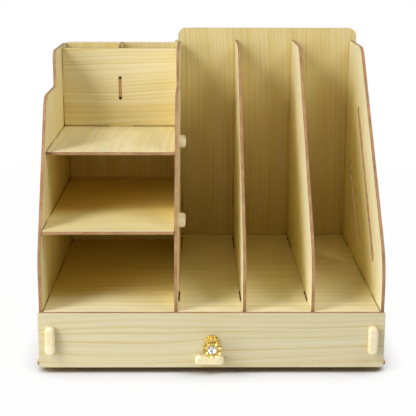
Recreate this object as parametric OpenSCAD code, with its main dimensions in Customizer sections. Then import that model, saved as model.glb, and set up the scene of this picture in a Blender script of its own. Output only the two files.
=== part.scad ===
// Desk organizer in flat-pack board: a column of shelves under a pen box, three upright
// file slots and a full-width drawer. The boards lock together with tabs in slots, and peg
// caps grip the tabs that stand proud. The origin is on the table, under the middle of the
// whole object, with +Z up and the front towards -Y.

/* [Boards] */
// Thickness of every board
board_t = 3.2; // [2.8:0.1:3.8]
// Gap round a tab in its slot
fit = 0.1; // [0.06:0.02:0.16]
// Gap that shows where the edge of a board meets the face of another
joint_gap = 0.6; // [0.1:0.1:0.9]
// How much wider than its board a loose slot is, as in the middle board and low in the file back
slot_play = 1.3; // [0.2:0.1:1.6]

/* [Case] */
// Width over the outer faces of the two sides
case_w = 332; // [310:1:370]
// Depth from the front plane to the rear face of the file back
case_d = 273.4; // [266:1:300]
// How far the bottom board and the file back reach past the sides
side_margin = 4.1; // [3:0.1:7]
// Clear height of the drawer bay
bay_h = 48.8; // [46:0.2:64]
// Height of the sides and dividers above the middle board
panel_h = 234.4; // [228:1:250]
// How far the file back rises above the sides
file_back_rise = 13.9; // [4:0.1:40]
// Corner radius at the top of the file back
file_back_r = 9; // [3:0.5:12]
// Corner radius of the bottom board
base_corner_r = 4; // [1:0.5:8]
// How far the drawer bay's back wall stands in front of the panels' rear edge
bay_back_inset = 10.2; // [6:0.1:20]

/* [Shelf column] */
// Clear width of the shelf column
column_w = 126.7; // [110:1:136]
// Height of the middle shelf's top above the middle board
middle_shelf_h = 76.7; // [66:1:90]
// Height of the top shelf's top above the middle board
top_shelf_h = 144.4; // [132:1:152]
// Setback of the middle shelf's front edge
middle_shelf_y = 12; // [8:1:40]
// Setback of the top shelf's front edge
top_shelf_y = 59.5; // [55:1:90]
// How far the column's back wall stands in front of the panels' rear edge
column_back_inset = 24.2; // [15:0.1:34]
// How far the top of the column's back wall lies below the sides
column_back_drop = 0.5; // [0:0.1:6]

/* [Pen box] */
// Clear depth of the pen box
pen_box_d = 38.1; // [30:0.1:60]
// Gap under the pen box's front wall, beside its tab
pen_front_lift = 0.9; // [0.1:0.1:1]
// How far the top of the pen box's front wall lies below the sides
pen_front_drop = 3.3; // [0:0.1:20]
// How far the top of the pen box's divider lies below the sides
pen_divider_drop = 0.4; // [0:0.1:20]
// Radius of the relief holes at the ends of the divider's slot
relief_r = 1.9; // [1.7:0.1:2.4]

/* [File slots] */
// Clear width of the first two file slots; the third takes the rest
file_slot_w = 62.6; // [54:1:66]
// Height above the middle board where the slanted front edge would leave the front plane
slant_foot_h = 48; // [36:1:60]
// Length of the top edge behind the point where the slanted edge would meet it
slant_top_l = 83.2; // [60:0.1:110]
// Radius that rounds the foot of the slant
slant_foot_r = 60; // [20:2:70]
// Radius that rounds the top of the slant
slant_top_r = 30; // [10:2:40]

/* [Stepped sides] */
// Height above the middle board where the stepped side's slant would leave the front plane
step_foot_h = 50; // [38:1:56]
// Distance from the front plane where that slant would meet the ledge
ledge_y = 80; // [70:1:100]
// How far the top of the stepped sides lies below the others
stepped_drop = 1; // [0:0.1:6]
// How far the ledge lies below the top of the sides
ledge_drop = 38; // [24:0.5:50]
// How far the riser behind the ledge stands in front of the pen box's front wall
riser_lead = 51.7; // [30:0.1:65]
// Radius that rounds the foot of the stepped slant
step_foot_r = 60; // [20:2:70]
// Radius that rounds the front of the ledge
ledge_r = 20; // [8:1:26]
// Radius in the inside corner of the step
step_r = 6; // [2:0.5:10]
// Radius at the top front of the stepped sides
stepped_top_r = 12; // [4:1:16]
// Radius at the top rear of the left side
left_rear_r = 30; // [12:1:34]
// Radius at the top rear of the column divider
divider_rear_r = 8; // [2:0.5:12]

/* [Long cut-outs] */
// Width of the two slanted cut-outs in the right side
cut_w = 10.5; // [5:0.5:12]
// Distance of the long cut-out's centre line from the slanted edge
long_cut_setback = 48; // [36:1:60]
// Start of the long cut-out, measured along the slanted edge
long_cut_start = 28; // [20:1:40]
// Length of the long cut-out
long_cut_l = 191; // [150:1:200]
// Distance of the short cut-out's centre line from the slanted edge
short_cut_setback = 128.5; // [110:1:134]
// Start of the short cut-out, measured along the slanted edge
short_cut_start = 87.5; // [86:1:100]
// Length of the short cut-out
short_cut_l = 114.5; // [80:1:116]

/* [Tabs] */
// Length of the tabs that peg caps grip, and of most upright tabs
tab_l = 20; // [16:1:22]
// Length of the broad tabs along board edges
broad_tab_l = 25; // [18:1:30]
// Length of the front tabs under the dividers
divider_tab_l = 30; // [20:1:34]
// Length of the rear tabs under the dividers
divider_rear_tab_l = 46; // [30:1:46]
// Distance of the dividers' rear tabs' centre in front of the panels' rear edge
divider_rear_inset = 33.8; // [33.5:0.1:42]
// Length of the middle board's side tabs
rail_tab_l = 40; // [30:1:44]
// Distance of the front foot and divider tabs' centre behind the front plane
front_tab_y = 45.6; // [40:1:52]
// Distance of the rear foot tabs' centre in front of the panels' rear edge, or of the drawer's back
rear_tab_inset = 38; // [32:1:42]
// Height of the lower rear tabs' centre above the middle board
low_tab_h = 49.3; // [44:1:56]
// Height of the column divider's lower rear tab's centre above the middle board
column_low_tab_h = 40.8; // [36:1:44]
// How far the upper rear tabs' centre lies below the top of the sides
high_tab_drop = 47; // [42:0.5:56]
// Distance of the middle shelf's side tabs behind the front plane
middle_shelf_tab_y = 60; // [56:1:70]
// Distance of the top shelf's side tabs behind the front plane
top_shelf_tab_y = 124; // [110:1:130]

/* [Peg caps] */
// Length of a peg cap
peg_l = 28; // [26:0.5:32]
// Width of a peg cap
peg_w = 9.2; // [8:0.2:10]
// Height of a peg cap, and so the gap under the case
peg_h = 7; // [5.4:0.2:8]
// How far a capped tab stands proud of the board it passes through
tab_proud = 3; // [2:0.2:3.6]

/* [Drawer] */
// How far the drawer front reaches past each side of the case
drawer_front_lap = 1; // [0:0.1:3]
// How far the drawer front's top lies below the middle board's top
drawer_front_drop = 0.2; // [0:0.1:1]
// Radius of the drawer front's upper corners
drawer_top_r = 2; // [1:0.5:4]
// Radius of the drawer front's lower corners
drawer_bottom_r = 4; // [2:0.5:6]
// How far the drawer front reaches below the bottom board's underside
drawer_front_reach = 0.8; // [0.2:0.1:1.6]
// Running clearance of the drawer
drawer_gap = 0.3; // [0.2:0.1:0.6]
// Space between each drawer side and the side of the case
drawer_side_gap = 5.7; // [4.6:0.1:8]
// Space between the drawer box's rear edge and the bay's back wall
drawer_rear_gap = 10; // [4:0.5:30]
// Height of the drawer sides above the drawer bottom
drawer_side_h = 36.4; // [28:0.2:38]
// Gap under the drawer bottom, bridged by the side tabs that it runs on
drawer_lift = 3.3; // [2.6:0.1:4]
// How far the drawer bottom reaches past the drawer sides
drawer_ledge = 2.9; // [2:0.1:3.8]
// Distance of the drawer back in front of the box's rear edge
drawer_back_inset = 8; // [6:0.5:14]
// Offset of the drawer bottom's front tab from the middle
bottom_tab_x = -2; // [-8:0.5:8]

/* [Knob] */
// How far the knob's axis lies below the middle of the drawer front
knob_drop = 1.5; // [0:0.5:4]
// Diameter over the petals of the plate against the drawer front
rose_d = 14.6; // [12:0.2:18]
// Thickness of that plate
rose_t = 2.2; // [1.6:0.1:3]
// Diameter of the neck at its waist
neck_d = 6; // [5.4:0.1:8]
// Length of the neck
neck_l = 14.4; // [12:0.2:18]
// Diameter over the petals of the flower
flower_d = 18.8; // [16:0.2:22]
// Thickness of the flower's petals
flower_t = 3.8; // [3:0.1:5]
// Diameter of the stone
stone_d = 8.8; // [7:0.1:10]
// How far the stone stands proud of the petals
stone_proud = 2.6; // [2:0.1:4]
// Depth of the stone's seat in the flower
seat_depth = 1.6; // [1:0.1:2.2]
// Number of petals in each flower
petals = 8; // [6:1:10]
// Diameter of the knob's screw
screw_d = 4; // [3:0.1:4.4]
// Diameter of the screw's head
screw_head_d = 7.4; // [6.4:0.1:8.4]
// Height of the screw's head
screw_head_h = 2.2; // [1.6:0.1:3]
// How far the screw reaches into the neck
screw_grip = 8; // [6:0.5:10]

/* [Hidden] */

// Finishes
pine = [0.87, 0.82, 0.66];
pale_pine = [0.91, 0.86, 0.71];
cream = [0.96, 0.9, 0.76];
gold = [0.88, 0.68, 0.25];
clear_stone = [0.93, 0.95, 0.98];
steel = [0.7, 0.7, 0.72];

// Fineness of round parts and of rounded corners
round_fn = 48;
corner_steps = 8;

// Heights above the table
base_z = peg_h;
bay_z = base_z + board_t;
mid_z = bay_z + bay_h + board_t;
panel_z = mid_z + panel_h;
mid_shelf_z = mid_z + middle_shelf_h;
top_shelf_z = mid_z + top_shelf_h;
ledge_z = panel_z - ledge_drop;
high_tab_z = panel_z - high_tab_drop;
column_tab_z = [mid_z + column_low_tab_h, high_tab_z];
panel_tab_z = [mid_z + low_tab_h, high_tab_z];

// Places across the width: the inner face of a side, and each divider's left face
inner_x = case_w / 2 - board_t;
side_x = inner_x + board_t / 2;
column_x = -inner_x + column_w;
file_left_x = column_x + board_t + file_slot_w;
file_right_x = file_left_x + board_t + file_slot_w;
column_mid_x = (column_x - inner_x) / 2;
file_wall_x = [column_x, file_left_x, file_right_x, inner_x];

// Places along the depth, counted from the case's front plane
panel_rear_y = case_d - board_t;
bay_back_y = panel_rear_y - bay_back_inset;
column_back_y = panel_rear_y - column_back_inset;
pen_front_y = column_back_y - pen_box_d - board_t;
riser_y = pen_front_y - riser_lead;
slant_top_y = panel_rear_y - slant_top_l;
foot_tab_y = [front_tab_y, panel_rear_y - rear_tab_inset];
divider_tab_y = [front_tab_y, panel_rear_y - divider_rear_inset];
divider_tab_ls = [divider_tab_l, divider_rear_tab_l];
rail_tab_y = [case_d * 0.26, case_d * 0.73];
column_back_tab_z = [mid_z + middle_shelf_h / 2, (mid_shelf_z + top_shelf_z) / 2, high_tab_z];

// The drawer's own places
drawer_face_y = -drawer_gap - board_t;
drawer_front_z0 = base_z - drawer_front_reach;
drawer_front_z1 = mid_z - drawer_front_drop;
drawer_bottom_z = bay_z + drawer_lift;
drawer_side_z = drawer_bottom_z + board_t;
drawer_tab_z = drawer_side_z + drawer_side_h / 2;
drawer_side_x = inner_x - drawer_side_gap - board_t;
drawer_d = bay_back_y - drawer_rear_gap;
drawer_back_y = drawer_d - drawer_back_inset - board_t;
drawer_foot_y = [front_tab_y, drawer_back_y - rear_tab_inset];

// The knob, measured outwards from the drawer front's face
knob_z = (drawer_front_z0 + drawer_front_z1) / 2 - knob_drop;
flower_base = rose_t + neck_l;
knob_reach = flower_base + flower_t + stone_proud;
screw_bore_r = screw_d / 2 + 0.1;

// The whole object, knob and rear caps included, is centred front to back
front_y = -(drawer_face_y - knob_reach + case_d + peg_h) / 2;

// ---- outlines ----

function unit(v) = v / norm(v);

// The arc that rounds corner q between p and s, with radius r and a given number of steps
function round_corner(p, q, s, r, steps) =
    let (
        to_p = unit(p - q),
        to_s = unit(s - q),
        half = acos(to_p * to_s) / 2,
        centre = q + unit(to_p + to_s) * r / sin(half),
        first = q + to_p * r / tan(half) - centre,
        last = q + to_s * r / tan(half) - centre,
        from = atan2(first[1], first[0]),
        turn = atan2(last[1], last[0]) - from,
        sweep = turn > 180 ? turn - 360 : turn < -180 ? turn + 360 : turn
    )
    [for (i = [0:steps]) centre + r * [cos(from + sweep * i / steps), sin(from + sweep * i / steps)]];

// A closed outline from corners written as [u, v, radius]
function outline(corners) =
    let (n = len(corners))
    [for (i = [0:n - 1])
        let (
            before = corners[(i + n - 1) % n],
            here = corners[i],
            after = corners[(i + 1) % n],
            q = [here[0], here[1]]
        )
        for (point = here[2] > 0
            ? round_corner([before[0], before[1]], q, [after[0], after[1]], here[2], corner_steps)
            : [q]) point];

// Side with a slanted front edge, as seen from the side: [distance from front, height]
function slanted_side(foot_z) = outline([
    [0, foot_z, 0],
    [panel_rear_y, foot_z, 0],
    [panel_rear_y, panel_z, 0],
    [slant_top_y, panel_z, slant_top_r],
    [0, mid_z + slant_foot_h, slant_foot_r]
]);

// Side with a ledge below the pen box
function stepped_side(foot_z, rear_r) = outline([
    [0, foot_z, 0],
    [panel_rear_y, foot_z, 0],
    [panel_rear_y, panel_z - stepped_drop, rear_r],
    [riser_y, panel_z - stepped_drop, stepped_top_r],
    [riser_y, ledge_z, step_r],
    [ledge_y, ledge_z, ledge_r],
    [0, mid_z + step_foot_h, step_foot_r]
]);

// ---- building blocks ----

module in_frame() translate([0, front_y, 0]) children();

// Boards made from a flat outline: standing side on, standing front on, and lying
module stand_side(x) translate([x, 0, 0]) rotate([90, 0, 90]) linear_extrude(board_t) children();
module stand_front(y) translate([0, y + board_t, 0]) rotate([90, 0, 0]) linear_extrude(board_t) children();
module lay_flat(z) translate([0, 0, z]) linear_extrude(board_t) children();

// A centred tab, and the slot that takes it
module tab(u, v, size_u, size_v) translate([u - size_u / 2, v - size_v / 2]) square([size_u, size_v]);
module slot(u, v, size_u, size_v) tab(u, v, size_u + 2 * fit, size_v + 2 * fit);

// A rectangle between two corners
module span(u0, u1, v0, v1) translate([u0, v0]) square([u1 - u0, v1 - v0]);

// Peg cap lying along X on the plane z = 0, rounded over and pocketed for its tab
module peg_cap() {
    crown_r = peg_w * 0.36;
    end_r = peg_w * 0.48;
    half_l = peg_l / 2;
    half_w = peg_w / 2;
    difference() {
        intersection() {
            linear_extrude(peg_h) polygon(outline([
                [-half_l, -half_w, end_r], [half_l, -half_w, end_r],
                [half_l, half_w, end_r], [-half_l, half_w, end_r]
            ]));
            rotate([90, 0, 90]) translate([0, 0, -half_l]) linear_extrude(peg_l) polygon(outline([
                [-half_w, 0, 0], [half_w, 0, 0], [half_w, peg_h, crown_r], [-half_w, peg_h, crown_r]
            ]));
            rotate([90, 0, 0]) translate([0, 0, -half_w]) linear_extrude(peg_w) polygon(outline([
                [-half_l, 0, 0], [half_l, 0, 0], [half_l, peg_h, crown_r], [-half_l, peg_h, crown_r]
            ]));
        }
        translate([0, 0, (tab_proud + fit) / 2 - 1])
            cube([tab_l + 2 * fit, board_t + 2 * fit, tab_proud + fit + 2], center = true);
    }
}

// The cap turned to stand on a front, rear, right or under face
module cap_on_front(x, y, z, upright)
    translate([x, y, z]) rotate([90, 0, 0]) rotate([0, 0, upright ? 90 : 0]) peg_cap();
module cap_on_rear(x, y, z) translate([x, y, z]) rotate([-90, 0, 0]) rotate([0, 0, 90]) peg_cap();
module cap_on_right(x, y, z) translate([x, y, z]) rotate([90, 0, 90]) peg_cap();
module cap_under(x, y, z, along_y) translate([x, y, z]) rotate([180, 0, along_y ? 90 : 0]) peg_cap();

// Radius of petals that overlap their neighbours a little, in a flower of the given diameter
function petal_r(diameter) =
    let (reach = 1.18 * sin(180 / petals))
    diameter / 2 * reach / (1 + reach);

// Turns a copy to each petal's place, with a gap between two petals straight above the middle
module at_petals() for (i = [0:petals - 1]) rotate(90 + (i + 0.5) * 360 / petals) children();

// A flat flower: petals round a disc
module flower_outline(diameter) {
    ring_r = diameter / 2 - petal_r(diameter);
    circle(r = ring_r, $fn = round_fn);
    at_petals() translate([ring_r, 0]) circle(r = petal_r(diameter), $fn = round_fn);
}

// Places a knob piece, made along +Z from the drawer front's face, on the drawer
module on_drawer_face() in_frame() translate([0, drawer_face_y, knob_z]) rotate([90, 0, 0]) children();

// ---- case ----

module bottom_board() {
    half_w = case_w / 2 + side_margin;
    color(pine) in_frame() lay_flat(base_z) difference() {
        polygon(outline([
            [-half_w, 0, base_corner_r], [half_w, 0, base_corner_r],
            [half_w, case_d, base_corner_r], [-half_w, case_d, base_corner_r]
        ]));
        for (x = [-side_x, side_x], y = foot_tab_y) slot(x, y, board_t, tab_l);
        slot(0, bay_back_y + board_t / 2, tab_l, board_t);
    }
}

// Behind the drawer bay the board fills the width, because daylight would show beside it
module mid_board() {
    half_w = inner_x - joint_gap;
    color(pine) in_frame() lay_flat(mid_z - board_t) difference() {
        union() {
            span(-half_w, half_w, 0, case_d);
            span(-inner_x + fit, inner_x - fit, bay_back_y, case_d);
            for (y = rail_tab_y) tab(0, y, case_w, rail_tab_l);
        }
        for (i = [0:2], j = [0:1]) divider_slot(i, divider_tab_y[j], divider_tab_ls[j]);
        slot(column_mid_x, column_back_y + board_t / 2, broad_tab_l, board_t);
        for (i = [0:2])
            slot(file_slot_mid(i), case_d, broad_tab_l, 2 * board_t);
    }
}

// Slot for the divider on the left of a file slot, open towards the side that hides less of it
module divider_slot(i, v, length) {
    play_side = i == 0 ? 1 : -1;
    slot(file_wall_x[i] + (board_t + play_side * slot_play) / 2, v, board_t + slot_play, length);
}

// Middle of a file slot, counted from the left
function file_slot_mid(i) = (file_wall_x[i] + board_t + file_wall_x[i + 1]) / 2;

// Tabs under a side panel, through the bottom board and into the foot caps
module foot_tabs() for (y = foot_tab_y)
    tab(y, bay_z - (board_t + tab_proud) / 2 + board_t / 2, tab_l, 2 * board_t + tab_proud);

// Tabs under a divider, flush with the middle board's underside
module divider_tabs() for (j = [0:1])
    tab(divider_tab_y[j], mid_z, divider_tab_ls[j], 2 * board_t);

// Tabs behind a panel, through the file back and into the rear caps
module rear_tabs(heights) for (z = heights)
    tab(case_d + (tab_proud - board_t) / 2 - board_t / 2, z, 2 * board_t + tab_proud, tab_l);

// Slots that both stepped sides share: the shelves, pen box front and column back
module column_slots() {
    slot(middle_shelf_tab_y, mid_shelf_z - board_t / 2, tab_l, board_t);
    slot(top_shelf_tab_y, top_shelf_z - board_t / 2, tab_l, board_t);
    slot(pen_front_y + board_t / 2, high_tab_z, board_t, tab_l);
    for (z = column_back_tab_z) slot(column_back_y + board_t / 2, z, board_t, tab_l);
}

// Slots that both outer sides share: the middle board and the bay's back wall
module bay_slots() {
    for (y = rail_tab_y) slot(y, mid_z - board_t / 2, rail_tab_l, board_t);
    slot(bay_back_y + board_t / 2, bay_z + bay_h / 2, board_t, tab_l);
}

module left_side_panel() {
    color(pale_pine) in_frame() stand_side(-case_w / 2) difference() {
        union() {
            polygon(stepped_side(bay_z, left_rear_r));
            foot_tabs();
        }
        column_slots();
        bay_slots();
    }
}

// A round-ended cut-out parallel to the slanted edge
module slanted_cut(setback, start, length) {
    foot = [0, mid_z + slant_foot_h];
    along = unit([slant_top_y, panel_h - slant_foot_h]);
    inwards = [along[1], -along[0]];
    first = foot + inwards * setback + along * (start + cut_w / 2);
    translate(first) rotate(atan2(along[1], along[0])) {
        translate([0, -cut_w / 2]) square([length - cut_w, cut_w]);
        for (u = [0, length - cut_w]) translate([u, 0]) circle(d = cut_w, $fn = round_fn);
    }
}

module right_side_panel() {
    color(pale_pine) in_frame() stand_side(inner_x) difference() {
        union() {
            polygon(slanted_side(bay_z));
            foot_tabs();
            rear_tabs(panel_tab_z);
        }
        bay_slots();
        slanted_cut(long_cut_setback, long_cut_start, long_cut_l);
        slanted_cut(short_cut_setback, short_cut_start, short_cut_l);
    }
}

module column_divider() {
    color(pale_pine) in_frame() stand_side(column_x) difference() {
        union() {
            polygon(stepped_side(mid_z, divider_rear_r));
            divider_tabs();
            rear_tabs(column_tab_z);
        }
        column_slots();
    }
}

module file_divider(x) {
    color(pale_pine) in_frame() stand_side(x) union() {
        polygon(slanted_side(mid_z));
        divider_tabs();
        rear_tabs(panel_tab_z);
    }
}

module file_divider_left() file_divider(file_left_x);
module file_divider_right() file_divider(file_right_x);

// A shelf in the column: its left tab is flush, its right tab goes into a cap
module column_shelf(top_z, shelf_y, tab_y) {
    left = -inner_x + joint_gap;
    right = column_x - fit;
    color(pine) in_frame() lay_flat(top_z - board_t) difference() {
        union() {
            span(left, right, shelf_y, column_back_y - fit);
            span(-case_w / 2, column_x + board_t + tab_proud, tab_y - tab_l / 2, tab_y + tab_l / 2);
            tab(column_mid_x, column_back_y, broad_tab_l, 2 * board_t);
        }
        children();
    }
}

module middle_shelf() column_shelf(mid_shelf_z, middle_shelf_y, middle_shelf_tab_y);
module top_shelf() column_shelf(top_shelf_z, top_shelf_y, top_shelf_tab_y)
    slot(column_mid_x, pen_front_y + board_t / 2, broad_tab_l, board_t);

module column_back() {
    color(pine) in_frame() stand_front(column_back_y) difference() {
        union() {
            span(-inner_x + fit, column_x - fit, mid_z, panel_z - column_back_drop);
            for (z = column_back_tab_z)
                span(-case_w / 2, column_x + board_t, z - tab_l / 2, z + tab_l / 2);
            tab(column_mid_x, mid_z, broad_tab_l, 2 * board_t);
        }
        for (z = [mid_shelf_z, top_shelf_z]) slot(column_mid_x, z - board_t / 2, broad_tab_l, board_t);
        slot(column_mid_x, high_tab_z, board_t, tab_l);
    }
}

module pen_box_front() {
    relief_z = tab_l / 2 + relief_r * 0.6;
    color(pine) in_frame() stand_front(pen_front_y) difference() {
        union() {
            span(-inner_x + joint_gap, column_x - joint_gap, top_shelf_z + pen_front_lift,
                panel_z - pen_front_drop);
            span(-case_w / 2, column_x + board_t, high_tab_z - tab_l / 2, high_tab_z + tab_l / 2);
            tab(column_mid_x, top_shelf_z, broad_tab_l, 2 * board_t);
        }
        slot(column_mid_x, high_tab_z, board_t, 2 * relief_z);
        for (side = [-1, 1])
            translate([column_mid_x, high_tab_z + side * relief_z]) circle(r = relief_r, $fn = round_fn);
    }
}

module pen_box_divider() {
    front = pen_front_y + board_t + fit;
    rear = column_back_y - fit;
    color(pale_pine) in_frame() stand_side(column_mid_x - board_t / 2) union() {
        span(front, rear, top_shelf_z, panel_z - pen_divider_drop);
        span(pen_front_y, column_back_y + board_t, high_tab_z - tab_l / 2, high_tab_z + tab_l / 2);
    }
}

// The walls beside the first file slot have wider lower slots, in which the caps behind show
module file_back() {
    left = column_x;
    right = case_w / 2 + side_margin;
    shoulder_r = side_margin * 0.7;
    color(pine) in_frame() stand_front(panel_rear_y) difference() {
        union() {
            polygon(outline([
                [left - side_margin, mid_z, 0],
                [right, mid_z, 0],
                [right, panel_z + file_back_rise, file_back_r],
                [left, panel_z + file_back_rise, file_back_r],
                [left, panel_z, 0],
                [left - side_margin, panel_z, shoulder_r]
            ]));
            for (i = [0:2]) tab(file_slot_mid(i), mid_z, broad_tab_l, 2 * board_t);
        }
        for (i = [0:3]) {
            heights = i == 0 ? column_tab_z : panel_tab_z;
            play = i < 2 ? slot_play : 0;
            side = i == 0 ? 1 : -1;
            slot(file_wall_x[i] + (board_t + side * play) / 2, heights[0], board_t + play, tab_l);
            slot(file_wall_x[i] + board_t / 2, heights[1], board_t, tab_l);
        }
    }
}

module bay_back() {
    tab_z = bay_z + bay_h / 2;
    color(pine) in_frame() stand_front(bay_back_y) union() {
        span(-inner_x + fit, inner_x - fit, bay_z, bay_z + bay_h - fit);
        tab(0, tab_z, case_w, tab_l);
        tab(0, bay_z - (board_t + tab_proud) / 2 + board_t / 2, tab_l, 2 * board_t + tab_proud);
    }
}

// ---- peg caps on the case ----

module shelf_pegs() {
    face_x = column_x + board_t;
    color(cream) in_frame() {
        cap_on_right(face_x, middle_shelf_tab_y, mid_shelf_z - board_t / 2);
        cap_on_right(face_x, top_shelf_tab_y, top_shelf_z - board_t / 2);
    }
}

module back_pegs() {
    color(cream) in_frame() {
        for (z = column_tab_z) cap_on_rear(column_x + board_t / 2, case_d, z);
        for (i = [1:3], z = panel_tab_z) cap_on_rear(file_wall_x[i] + board_t / 2, case_d, z);
    }
}

module foot_pegs() {
    color(cream) in_frame() {
        for (x = [-side_x, side_x], y = foot_tab_y) cap_under(x, y, base_z, true);
        cap_under(0, bay_back_y + board_t / 2, base_z, false);
    }
}

// ---- drawer ----

module drawer_front() {
    half_w = case_w / 2 + drawer_front_lap;
    side_mid_x = drawer_side_x + board_t / 2;
    color(pine) in_frame() difference() {
        stand_front(drawer_face_y) difference() {
            polygon(outline([
                [-half_w, drawer_front_z0, drawer_bottom_r], [half_w, drawer_front_z0, drawer_bottom_r],
                [half_w, drawer_front_z1, drawer_top_r], [-half_w, drawer_front_z1, drawer_top_r]
            ]));
            for (x = [-side_mid_x, side_mid_x]) slot(x, drawer_tab_z, board_t, tab_l);
            slot(bottom_tab_x, drawer_bottom_z + board_t / 2, tab_l, board_t);
        }
        translate([0, drawer_face_y - 1, knob_z]) rotate([-90, 0, 0])
            cylinder(r = screw_bore_r, h = board_t + 2, $fn = round_fn);
    }
}

module drawer_side(x) {
    color(pale_pine) in_frame() stand_side(x) difference() {
        union() {
            span(-drawer_gap, drawer_d, drawer_side_z, drawer_side_z + drawer_side_h);
            tab(drawer_face_y + (board_t - tab_proud) / 2 + board_t / 2, drawer_tab_z,
                2 * board_t + tab_proud, tab_l);
            for (y = drawer_foot_y)
                span(y - tab_l / 2, y + tab_l / 2, bay_z + drawer_gap, drawer_side_z + board_t);
        }
        slot(drawer_back_y + board_t / 2, drawer_tab_z, board_t, tab_l);
    }
}

module drawer_left_side() drawer_side(-drawer_side_x - board_t);
module drawer_right_side() drawer_side(drawer_side_x);

module drawer_back() {
    outer_x = drawer_side_x + board_t;
    color(pine) in_frame() stand_front(drawer_back_y) union() {
        span(-drawer_side_x + fit, drawer_side_x - fit, drawer_side_z, drawer_side_z + drawer_side_h);
        tab(0, drawer_tab_z, 2 * outer_x, tab_l);
        tab(0, drawer_side_z, broad_tab_l, 2 * board_t);
    }
}

module drawer_bottom() {
    half_w = drawer_side_x + board_t + drawer_ledge;
    side_mid_x = drawer_side_x + board_t / 2;
    color(pine) in_frame() lay_flat(drawer_bottom_z) difference() {
        union() {
            span(-half_w, half_w, -drawer_gap, drawer_d);
            tab(bottom_tab_x, drawer_face_y + (board_t - tab_proud) / 2 + board_t / 2, tab_l,
                2 * board_t + tab_proud);
        }
        for (x = [-side_mid_x, side_mid_x], y = drawer_foot_y) slot(x, y, board_t, tab_l);
        slot(0, drawer_back_y + board_t / 2, broad_tab_l, board_t);
    }
}

module drawer_pegs() {
    side_mid_x = drawer_side_x + board_t / 2;
    color(cream) in_frame() {
        for (x = [-side_mid_x, side_mid_x]) cap_on_front(x, drawer_face_y, drawer_tab_z, true);
        cap_on_front(bottom_tab_x, drawer_face_y, drawer_bottom_z + board_t / 2, false);
    }
}

// ---- knob ----

module knob_rose() {
    color(gold) on_drawer_face() difference() {
        linear_extrude(rose_t) flower_outline(rose_d);
        translate([0, 0, -1]) cylinder(r = screw_bore_r, h = rose_t + 2, $fn = round_fn);
    }
}

module knob_stem() {
    foot_r = rose_d * 0.3;
    waist_r = neck_d / 2;
    head_r = stone_d * 0.45;
    color(gold) on_drawer_face() difference() {
        translate([0, 0, rose_t]) rotate_extrude($fn = round_fn) polygon([
            [0, 0], [foot_r, 0], [foot_r, neck_l * 0.1], [waist_r, neck_l * 0.3],
            [waist_r, neck_l * 0.7], [head_r, neck_l * 0.92], [head_r, neck_l], [0, neck_l]
        ]);
        translate([0, 0, rose_t - 1]) cylinder(r = screw_d / 2 + 0.04, h = screw_grip + 2, $fn = round_fn);
    }
}

// Petals are flattened balls round a cup with a seat for the stone
module knob_flower() {
    ring_r = flower_d / 2 - petal_r(flower_d);
    color(gold) on_drawer_face() translate([0, 0, flower_base]) difference() {
        intersection() {
            union() {
                cylinder(r = ring_r, h = flower_t * 0.8, $fn = round_fn);
                at_petals() translate([ring_r, 0, flower_t / 2])
                    sphere(r = petal_r(flower_d), $fn = round_fn);
            }
            cylinder(r = flower_d, h = flower_t, $fn = round_fn);
        }
        translate([0, 0, flower_t - seat_depth])
            cylinder(r = stone_d / 2 + fit / 2, h = seat_depth + 1, $fn = round_fn);
    }
}

// A domed stone with flat facets in three rings
module knob_crystal() {
    facets = 12;
    rise = (seat_depth + stone_proud) / 3;
    r = stone_d / 2;
    color(clear_stone) on_drawer_face() translate([0, 0, flower_base + flower_t - seat_depth]) {
        cylinder(r1 = r * 0.9, r2 = r, h = rise, $fn = facets);
        translate([0, 0, rise]) cylinder(r1 = r, r2 = r * 0.84, h = rise, $fn = facets);
        translate([0, 0, 2 * rise]) cylinder(r1 = r * 0.84, r2 = r * 0.45, h = rise, $fn = facets);
    }
}

// Screw from inside the drawer, through its front and the plate, into the neck
module knob_screw() {
    shank_l = board_t + rose_t + screw_grip;
    color(steel) on_drawer_face() translate([0, 0, -board_t]) {
        cylinder(d = screw_d, h = shank_l, $fn = round_fn);
        translate([0, 0, -screw_head_h]) cylinder(d = screw_head_d, h = screw_head_h, $fn = round_fn);
    }
}

bottom_board();
mid_board();
left_side_panel();
right_side_panel();
column_divider();
file_divider_left();
file_divider_right();
middle_shelf();
top_shelf();
column_back();
pen_box_front();
pen_box_divider();
file_back();
bay_back();
shelf_pegs();
back_pegs();
foot_pegs();
drawer_front();
drawer_left_side();
drawer_right_side();
drawer_back();
drawer_bottom();
drawer_pegs();
knob_rose();
knob_stem();
knob_flower();
knob_crystal();
knob_screw();
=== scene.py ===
# %% [markdown]
# # A board sorter with a drawer
# The real object is a flat-pack desk organizer: thin fibreboard with a printed pine skin,
# cut by laser, locked with tabs, and gripped by cream peg caps. A gold flower knob with a
# clear stone opens its drawer. The boards come from the CAD model and keep their shape
# here; this lesson gives them their print and their burnt edges, and models anew what
# needs softer forms: the peg caps and the knob.

import math

import bmesh
import bpy
from mathutils import Euler, Matrix, Vector


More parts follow.
